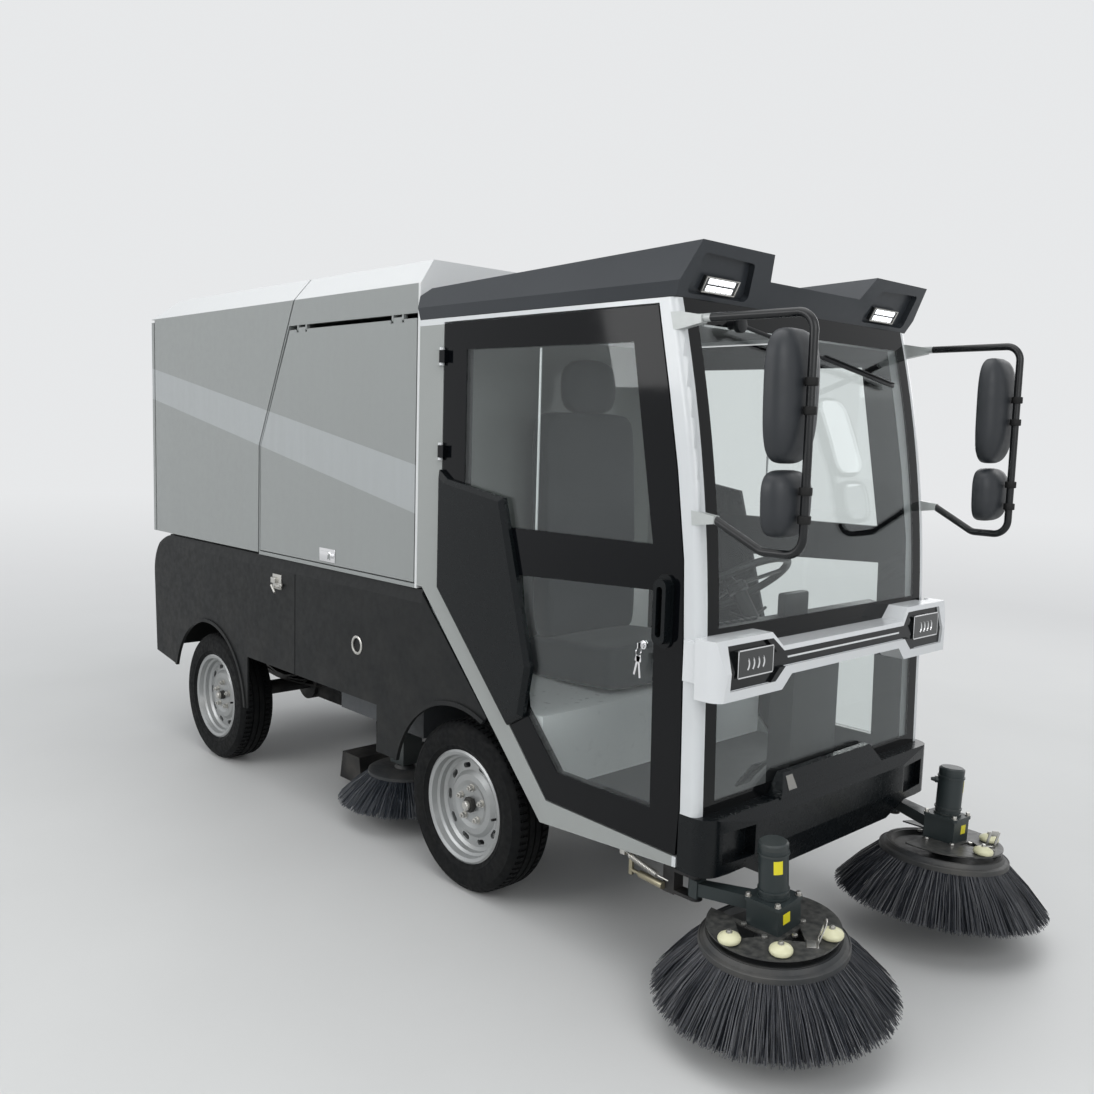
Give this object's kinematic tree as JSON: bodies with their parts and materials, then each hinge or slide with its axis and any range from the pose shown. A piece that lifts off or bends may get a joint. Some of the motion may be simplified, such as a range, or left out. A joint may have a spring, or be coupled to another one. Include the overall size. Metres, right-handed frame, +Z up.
{
  "type": "compact road sweeper",
  "caption": "Compact electric road sweeper with a glazed cab, tipping waste hopper, swinging front disc brooms, mid brooms and a suction nozzle.",
  "frame": {"origin": "on the ground, middle of the overall length and width", "axes": "+X forward, +Y to the machine's left, +Z up"},
  "size_m": [3.998, 1.5602, 2.133],
  "materials": {
    "body_grey": "satin warm grey paint",
    "skirt_black": "matte charcoal",
    "frame_black": "semi-gloss black paint",
    "cab_white": "gloss white paint",
    "roof_black": "satin charcoal moulding",
    "glass": "clear glass",
    "door_black": "gloss black border",
    "plastic_black": "black plastic",
    "bar_white": "gloss white moulding",
    "lamp": "clear lamp",
    "tyre_rubber": "tyre rubber",
    "rim_silver": "silver paint",
    "axle_steel": "black cast steel",
    "spring_steel": "oiled spring steel",
    "fabric_dark": "dark seat cover",
    "floor_grey": "light floor and seat box",
    "cylinder_steel": "black barrel",
    "rod_chrome": "polished rod",
    "bristle": "black bristle",
    "disc_grey": "grey plastic disc",
    "roller_cream": "cream roller",
    "motor_grey": "dark grey motor",
    "battery": "plain block"
  },
  "bodies": {
    "chassis": {"battery_pack": "battery", "chassis_frame": "frame_black", "deck_frame": "frame_black", "front_axle": "axle_steel", "rear_axle": "axle_steel", "leaf_springs": "spring_steel", "cab_floor": "floor_grey", "cab_frame": "cab_white", "cab_roof": "roof_black", "windscreen": "glass", "light_bar": "bar_white", "lamps": "lamp", "front_bumper": "plastic_black", "driver_seat": "fabric_dark", "dashboard": "plastic_black", "container_front": "body_grey", "side_skirts": "skirt_black", "rear_apron": "skirt_black", "mirror_arms": "plastic_black", "mirror_heads": "plastic_black", "wiper": "plastic_black", "suction_nozzle": "frame_black", "mid_broom_arms": "motor_grey"},
    "steering_wheel": {"steering_wheel": "plastic_black"},
    "hopper": {"hopper_shell": "body_grey"},
    "tailgate": {"tailgate": "body_grey"},
    "tip_barrel": {"tip_barrel": "cylinder_steel"},
    "tip_rod": {"tip_rod": "rod_chrome"},
    "knuckle_right": {"knuckle_right": "axle_steel"},
    "wheel_front_right": {"tyre_front_right": "tyre_rubber", "rim_front_right": "rim_silver"},
    "wheel_rear_right": {"tyre_rear_right": "tyre_rubber", "rim_rear_right": "rim_silver"},
    "door_right": {"door_frame_right": "door_black", "door_glass_right": "glass", "door_cladding_right": "plastic_black"},
    "hatch_right": {"side_hatch_right": "body_grey"},
    "broom_arm_right": {"broom_arm_right": "motor_grey", "broom_rollers_right": "roller_cream"},
    "broom_right": {"broom_disc_right": "disc_grey", "broom_bristles_right": "bristle"},
    "mid_broom_right": {"mid_broom_right": "bristle"},
    "knuckle_left": {"knuckle_left": "axle_steel"},
    "wheel_front_left": {"tyre_front_left": "tyre_rubber", "rim_front_left": "rim_silver"},
    "wheel_rear_left": {"tyre_rear_left": "tyre_rubber", "rim_rear_left": "rim_silver"},
    "door_left": {"door_frame_left": "door_black", "door_glass_left": "glass", "door_cladding_left": "plastic_black"},
    "hatch_left": {"side_hatch_left": "body_grey"},
    "broom_arm_left": {"broom_arm_left": "motor_grey", "broom_rollers_left": "roller_cream"},
    "broom_left": {"broom_disc_left": "disc_grey", "broom_bristles_left": "bristle"},
    "mid_broom_left": {"mid_broom_left": "bristle"}
  },
  "joints": [
    {"name": "steer_right", "type": "hinge", "parent": "chassis", "child": "knuckle_right", "pos_m": [0.47, -0.425, 0.293], "axis": [0, 0, 1], "range_deg": [-32, 32]},
    {"name": "roll_front_right", "type": "hinge", "parent": "knuckle_right", "child": "wheel_front_right", "pos_m": [0.47, -0.489, 0.293], "axis": [0, 1, 0], "continuous": true},
    {"name": "roll_rear_right", "type": "hinge", "parent": "chassis", "child": "wheel_rear_right", "pos_m": [-1.39, -0.489, 0.293], "axis": [0, 1, 0], "continuous": true},
    {"name": "door_right_hinge", "type": "hinge", "parent": "chassis", "child": "door_right", "pos_m": [0.366, -0.601, 1.38], "axis": [0, 0, -1], "range_deg": [0, 75]},
    {"name": "broom_arm_right_swing", "type": "hinge", "parent": "chassis", "child": "broom_arm_right", "pos_m": [1.455, -0.53, 0.345], "axis": [0, 0, -1], "range_deg": [-8, 35]},
    {"name": "broom_right_spin", "type": "hinge", "parent": "broom_arm_right", "child": "broom_right", "pos_m": [1.669, -0.465, 0.259], "axis": [0, -0.0837, 0.9965], "continuous": true},
    {"name": "mid_broom_right_spin", "type": "hinge", "parent": "chassis", "child": "mid_broom_right", "pos_m": [-0.205, -0.315, 0.205], "axis": [0, 0, 1], "continuous": true},
    {"name": "steer_left", "type": "hinge", "parent": "chassis", "child": "knuckle_left", "pos_m": [0.47, 0.425, 0.293], "axis": [0, 0, 1], "range_deg": [-32, 32]},
    {"name": "roll_front_left", "type": "hinge", "parent": "knuckle_left", "child": "wheel_front_left", "pos_m": [0.47, 0.489, 0.293], "axis": [0, 1, 0], "continuous": true},
    {"name": "roll_rear_left", "type": "hinge", "parent": "chassis", "child": "wheel_rear_left", "pos_m": [-1.39, 0.489, 0.293], "axis": [0, 1, 0], "continuous": true},
    {"name": "door_left_hinge", "type": "hinge", "parent": "chassis", "child": "door_left", "pos_m": [0.366, 0.601, 1.38], "axis": [0, 0, 1], "range_deg": [0, 75]},
    {"name": "broom_arm_left_swing", "type": "hinge", "parent": "chassis", "child": "broom_arm_left", "pos_m": [1.455, 0.53, 0.345], "axis": [0, 0, 1], "range_deg": [-8, 35]},
    {"name": "broom_left_spin", "type": "hinge", "parent": "broom_arm_left", "child": "broom_left", "pos_m": [1.669, 0.465, 0.259], "axis": [0, 0.0837, 0.9965], "continuous": true},
    {"name": "mid_broom_left_spin", "type": "hinge", "parent": "chassis", "child": "mid_broom_left", "pos_m": [-0.205, 0.315, 0.205], "axis": [0, 0, 1], "continuous": true},
    {"name": "hatch_right_hinge", "type": "hinge", "parent": "chassis", "child": "hatch_right", "pos_m": [-0.235, -0.578, 1.937], "axis": [-1, 0, 0], "range_deg": [0, 85]},
    {"name": "hatch_left_hinge", "type": "hinge", "parent": "chassis", "child": "hatch_left", "pos_m": [-0.235, 0.578, 1.937], "axis": [1, 0, 0], "range_deg": [0, 85]},
    {"name": "steering", "type": "hinge", "parent": "chassis", "child": "steering_wheel", "pos_m": [1.13, 0.02, 1.09], "axis": [-0.5736, 0, 0.8191], "range_deg": [-480, 480]},
    {"name": "hopper_tip", "type": "hinge", "parent": "chassis", "child": "hopper", "pos_m": [-1.955, 0, 0.992], "axis": [0, -1, 0], "range_deg": [0, 50]},
    {"name": "tailgate_hinge", "type": "hinge", "parent": "hopper", "child": "tailgate", "pos_m": [-1.988, 0, 2.033], "axis": [0, 1, 0], "range_deg": [0, 75]},
    {"name": "barrel_tilt", "type": "hinge", "parent": "chassis", "child": "tip_barrel", "pos_m": [-1.5, -0.27, 0.47], "axis": [0, -1, 0], "range_deg": [-1, 6]},
    {"name": "rod_slide", "type": "slide", "parent": "tip_barrel", "child": "tip_rod", "axis": [-0.1942, 0, 0.981], "range_m": [0, 0.2979]}
  ],
  "couplings": [
    {"joint": "steer_right", "follows": "steer_left", "ratio": 1},
    {"joint": "steering", "follows": "steer_left", "ratio": 15},
    {"joint": "barrel_tilt", "follows": "hopper_tip", "ratio": 0.08141},
    {"joint": "rod_slide", "follows": "hopper_tip", "m_per_rad": 0.34019}
  ]
}
